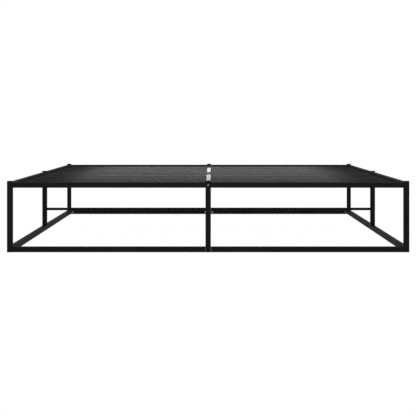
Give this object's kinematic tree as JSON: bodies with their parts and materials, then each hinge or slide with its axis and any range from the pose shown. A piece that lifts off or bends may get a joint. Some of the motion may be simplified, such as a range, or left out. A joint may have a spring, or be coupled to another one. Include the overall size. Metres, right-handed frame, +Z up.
{
  "type": "metal bed frame",
  "caption": "Low open bed base of square black steel tube: posts, upper and lower rails, a centre beam and two rows of slats that carry a mattress.",
  "frame": {"origin": "on the floor under the middle of the bed", "axes": "+Z up; +Y along the bed from the front (foot) end to the rear (head) end; +X across the bed to the right when seen from the front"},
  "size_m": [1.87, 2.0758, 0.331],
  "materials": {
    "powder_coat": "black powder coat with a fine texture, satin",
    "slat_coat": "smooth black coating, satin",
    "cap_plastic": "moulded, fine matt texture",
    "bolt_zinc": "bright zinc plate"
  },
  "bodies": {
    "root": {"bottom_rail_front_left": "powder_coat", "bottom_rail_front_right": "powder_coat", "bottom_rail_left": "powder_coat", "bottom_rail_rear_left": "powder_coat", "bottom_rail_rear_right": "powder_coat", "bottom_rail_right": "powder_coat", "cap_front_centre": "cap_plastic", "cap_front_left": "cap_plastic", "cap_front_right": "cap_plastic", "cap_mid_left": "cap_plastic", "cap_mid_right": "cap_plastic", "cap_rear_centre": "cap_plastic", "cap_rear_left": "cap_plastic", "cap_rear_right": "cap_plastic", "centre_beam_front": "powder_coat", "centre_beam_rear": "powder_coat", "centre_leg": "powder_coat", "cross_rail": "powder_coat", "joiner_bolt_front": "bolt_zinc", "joiner_bolt_rear": "bolt_zinc", "post_front_centre": "powder_coat", "post_front_left": "powder_coat", "post_front_right": "powder_coat", "post_mid_left": "powder_coat", "post_mid_right": "powder_coat", "post_rear_centre": "powder_coat", "post_rear_left": "powder_coat", "post_rear_right": "powder_coat", "slat_front_left_1": "slat_coat", "slat_front_left_2": "slat_coat", "slat_front_left_3": "slat_coat", "slat_front_left_4": "slat_coat", "slat_front_left_5": "slat_coat", "slat_front_right_1": "slat_coat", "slat_front_right_2": "slat_coat", "slat_front_right_3": "slat_coat", "slat_front_right_4": "slat_coat", "slat_front_right_5": "slat_coat", "slat_rear_left_1": "slat_coat", "slat_rear_left_2": "slat_coat", "slat_rear_left_3": "slat_coat", "slat_rear_left_4": "slat_coat", "slat_rear_left_5": "slat_coat", "slat_rear_right_1": "slat_coat", "slat_rear_right_2": "slat_coat", "slat_rear_right_3": "slat_coat", "slat_rear_right_4": "slat_coat", "slat_rear_right_5": "slat_coat", "stretcher_left": "powder_coat", "stretcher_right": "powder_coat", "top_rail_front_left": "powder_coat", "top_rail_front_right": "powder_coat", "top_rail_left_front": "powder_coat", "top_rail_left_rear": "powder_coat", "top_rail_rear_left": "powder_coat", "top_rail_rear_right": "powder_coat", "top_rail_right_front": "powder_coat", "top_rail_right_rear": "powder_coat"}
  },
  "joints": []
}
